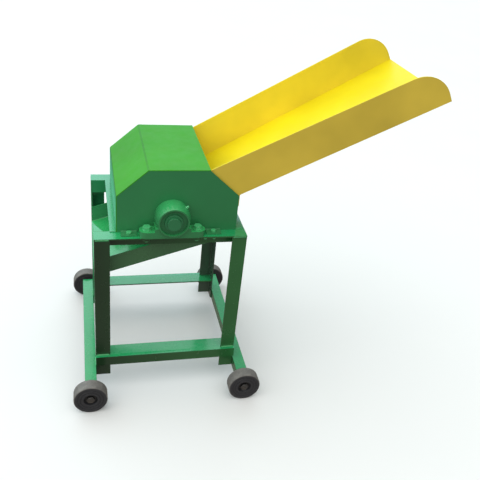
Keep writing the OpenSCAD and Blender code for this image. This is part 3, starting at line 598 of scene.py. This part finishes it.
def soft_copy(node, material, outer, inner=0.0, fold_outer=0.0, fold_inner=0.0, origin=None):
    """A copy of a node with its folds, hollow corners and edges rounded, which stands for the node."""
    bm = bmesh.new()
    bm.from_mesh(nodes[node].data)
    bmesh.ops.remove_doubles(bm, verts=bm.verts[:], dist=MERGE_DISTANCE)
    bmesh.ops.dissolve_limit(bm, angle_limit=FLAT, verts=bm.verts[:], edges=bm.edges[:])
    bm.faces.layers.float.new("edge")
    bm.faces.layers.float.new("fold")
    if fold_outer:
        round_off(bm, creases(bm, False, is_fold), fold_outer, FOLD_SEGMENTS, "fold")
        round_off(bm, creases(bm, True, is_fold), fold_inner, HOLLOW_SEGMENTS)
    if inner:
        round_off(bm, creases(bm, True, any_edge), inner, HOLLOW_SEGMENTS)
    round_off(bm, creases(bm, False, any_edge), outer, EDGE_SEGMENTS, "edge")
    mesh = smooth_mesh(node + "_look", bm, material)
    mesh.set_sharp_from_angle(angle=SMOOTH)
    piece = bpy.data.objects.new(node + "_look", mesh)
    if origin is not None:
        mesh.transform(Matrix.Translation(-origin))
        piece.location = origin
    scene.collection.objects.link(piece)
    normals = piece.modifiers.new("face_normals", "WEIGHTED_NORMAL")
    normals.keep_sharp = True
    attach(piece, nodes[node]["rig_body"])
    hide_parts(node)
    return piece


# Distance from the cover's left edge that takes in its lip and the outer face of its left wall
COVER_LIP = 15.5 * MM


def paint_foot(cover):
    """Gives the cover's lip the frame's paint, and its left wall a duller one whose light teal is painted sky
    light.
    """
    mesh = cover.data
    index = {}
    for finish in ("frame_green", "wall_painted_sky_green"):
        index[finish] = len(mesh.materials)
        mesh.materials.append(MATERIALS[finish])
    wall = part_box("cover")[0].x + COVER_LIP
    for face in mesh.polygons:
        if face.center.x < wall:
            flat = face.normal.z > abs(face.normal.x)
            face.material_index = index["frame_green" if flat else "wall_painted_sky_green"]


# Weld beads: their widths, their distance from corners, and that of the upper ones from the rail's top
WELD_SEED = 7
LOWER_WELD = 0.007
UPPER_WELD = 0.005
RAIL_WELD = 0.006
LEG_INSET = 0.002
RAIL_INSET = 0.003
UPPER_DROP = 0.004
# A bead's steps and sides, and its form as shares of its width
WELD_STEP = 0.0012
WELD_STEPS_LEAST = 4
WELD_SIDES = 8
WELD_HEIGHT = 0.42
WELD_SINK = 0.06
WELD_END = 0.55
WELD_END_RISE = 6
RIPPLE = 0.10
RIPPLE_TURN = 2.1
UNEVEN = 0.05
DRIFT = 0.04


def weld_bead(bm, start, end, out, width, rng):
    """A rippled bead from start to end, raised in the direction out."""
    run = end - start
    steps = max(WELD_STEPS_LEAST, round(run.length / WELD_STEP))
    side = run.normalized().cross(out)
    rings = []
    for i in range(steps + 1):
        share = i / steps
        fade = min(1.0, WELD_END + WELD_END_RISE * min(share, 1 - share))
        swell = fade * (1 + RIPPLE * math.sin(i * RIPPLE_TURN) + rng.uniform(-UNEVEN, UNEVEN))
        drift = side * rng.uniform(-DRIFT, DRIFT) * width
        ring = []
        for k in range(WELD_SIDES):
            angle = math.pi * k / (WELD_SIDES - 1)
            spread = side * math.cos(angle) * width / 2 * swell
            lift = out * (math.sin(angle) * WELD_HEIGHT - WELD_SINK) * width * swell
            ring.append(bm.verts.new(start + run * share + drift + spread + lift))
        rings.append(ring)
    for one, two in zip(rings, rings[1:]):
        for k in range(WELD_SIDES):
            j = (k + 1) % WELD_SIDES
            bm.faces.new((one[k], two[k], two[j], one[j]))
    bm.faces.new(rings[0])
    bm.faces.new(reversed(rings[-1]))


def frame_welds():
    """The beads where the legs meet the rails and the runners, and where the right top rail ends."""
    bm = bmesh.new()
    rng = random.Random(WELD_SEED)

    def bead_along_x(low, high, y, z, inset, out, width):
        weld_bead(bm, Vector((low.x + inset, y, z)), Vector((high.x - inset, y, z)), out, width, rng)

    def bead_along_y(low, high, x, z, inset, out, width):
        weld_bead(bm, Vector((x, low.y + inset, z)), Vector((x, high.y - inset, z)), out, width, rng)

    rail_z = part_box("front_lower_rail")[1].z
    runner_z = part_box("left_runner")[1].z
    upper_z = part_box("front_top_rail")[1].z - UPPER_DROP
    for side, left in (("left", True), ("right", False)):
        for end, front in (("front", True), ("rear", False)):
            low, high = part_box(f"{end}_{side}_leg")
            outward = Vector((0, -1 if front else 1, 0))
            sideways = Vector((-1 if left else 1, 0, 0))
            face_y = low.y if front else high.y
            face_x = low.x if left else high.x
            bead_along_x(low, high, face_y, rail_z, LEG_INSET, (outward + UP).normalized(), LOWER_WELD)
            bead_along_y(low, high, face_x, runner_z, LEG_INSET, (sideways + UP).normalized(), LOWER_WELD)
            bead_along_x(low, high, face_y, upper_z, LEG_INSET, outward, UPPER_WELD)
    low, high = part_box("right_top_rail")
    for y in (low.y, high.y):
        bead_along_x(low, high, y, high.z, RAIL_INSET, UP, RAIL_WELD)
    bmesh.ops.recalc_face_normals(bm, faces=bm.faces[:])
    piece = bpy.data.objects.new("frame_welds", smooth_mesh("frame_welds", bm, "cast_green"))
    scene.collection.objects.link(piece)
    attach(piece, "frame")


make_camera()
make_studio()
make_floor()

# Radii of edges, hollow corners and folds
IRON_EDGES = {"outer": 1.0 * MM, "inner": 3.0 * MM}
PLATE_EDGES = {"outer": 0.6 * MM, "inner": 2.5 * MM}
CAST_EDGES = {"outer": 1.2 * MM, "inner": 3.0 * MM}
COVER_EDGES = {"outer": 0.5 * MM, "fold_outer": 6.0 * MM, "fold_inner": 3.5 * MM}
CHUTE_EDGES = {"outer": 0.5 * MM, "fold_outer": 4.5 * MM, "fold_inner": 2.0 * MM}
SHEET_EDGE = 0.5 * MM
BOLT_EDGE = 0.45 * MM
TYRE_EDGE = 0.8 * MM

# Frame
irons = {
    "frame_green": ("front_top_rail", "right_top_rail", "left_side_rail", "front_lower_rail",
                    "rear_lower_rail", "left_runner", "front_left_leg", "front_right_leg"),
    "inner_green": ("rear_top_rail", "rear_left_leg"),
    "runner_green": ("right_runner",),
    "far_green": ("rear_right_leg",),
}
for material, members in irons.items():
    for node in members:
        soft_copy(node, material, **IRON_EDGES)
for node in ("corner_gusset", "axle_brackets", "axle_spacers"):
    soft_copy(node, "frame_green", SHEET_EDGE)
frame_welds()

# Sheets
paint_foot(soft_copy("cover", "cover_green", **COVER_EDGES))
for node in ("front_end_plate", "rear_end_plate"):
    soft_copy(node, "plate_green", **PLATE_EDGES)
soft_copy("side_wall", "plate_green", SHEET_EDGE)
soft_copy("feed_trough", "trough_yellow", SHEET_EDGE)
soft_copy("discharge_chute", "chute_green", **CHUTE_EDGES)

# Bearings, bolts, axles and the rotor
for node in ("front_bearing_housing", "rear_bearing_housing"):
    soft_copy(node, "cast_green", **CAST_EDGES)
rounded = {
    # Bolts in a lighter green, a painted highlight
    "bolt_painted_highlight_green": ("bearing_bolts", "bearing_washers", "casing_bolts", "trough_bolts", "chute_bolts",
                   "grease_nipples"),
    # The nuts under the rails take the frame's paint for its painted shade
    "frame_green": ("bearing_nuts", "sheet_nuts"),
    "shaft_steel": ("main_shaft", "front_inner_ring", "rear_inner_ring"),
    "ring_steel": ("front_outer_ring", "rear_outer_ring"),
    "dark_iron": ("axle_washers", "front_left_hub", "front_right_hub", "rear_left_hub", "rear_right_hub",
                  "bed_knife_bar", "knife_discs"),
    "axle_steel": ("stub_axles", "axle_nuts"),
}
for material, members in rounded.items():
    for node in members:
        soft_copy(node, material, BOLT_EDGE)

# Nodes that stay as they are, with a better material
plain = {
    "turned_steel": ("front_bearing_balls", "rear_bearing_balls"),
    "ground_steel": ("knife_1", "knife_2", "knife_3", "knife_4", "bed_knife"),
    "bolt_steel": ("bed_knife_screws", "knife_screws"),
    "seal_rubber": ("bearing_seals",),
}
for material, members in plain.items():
    for node in members:
        nodes[node].data.materials.clear()
        nodes[node].data.materials.append(MATERIALS[material])

# Tyres
for side in ("left", "right"):
    for end in ("front", "rear"):
        node = f"{end}_{side}_tyre"
        low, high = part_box(node)
        soft_copy(node, "tyre_rubber", TYRE_EDGE, origin=(low + high) / 2)
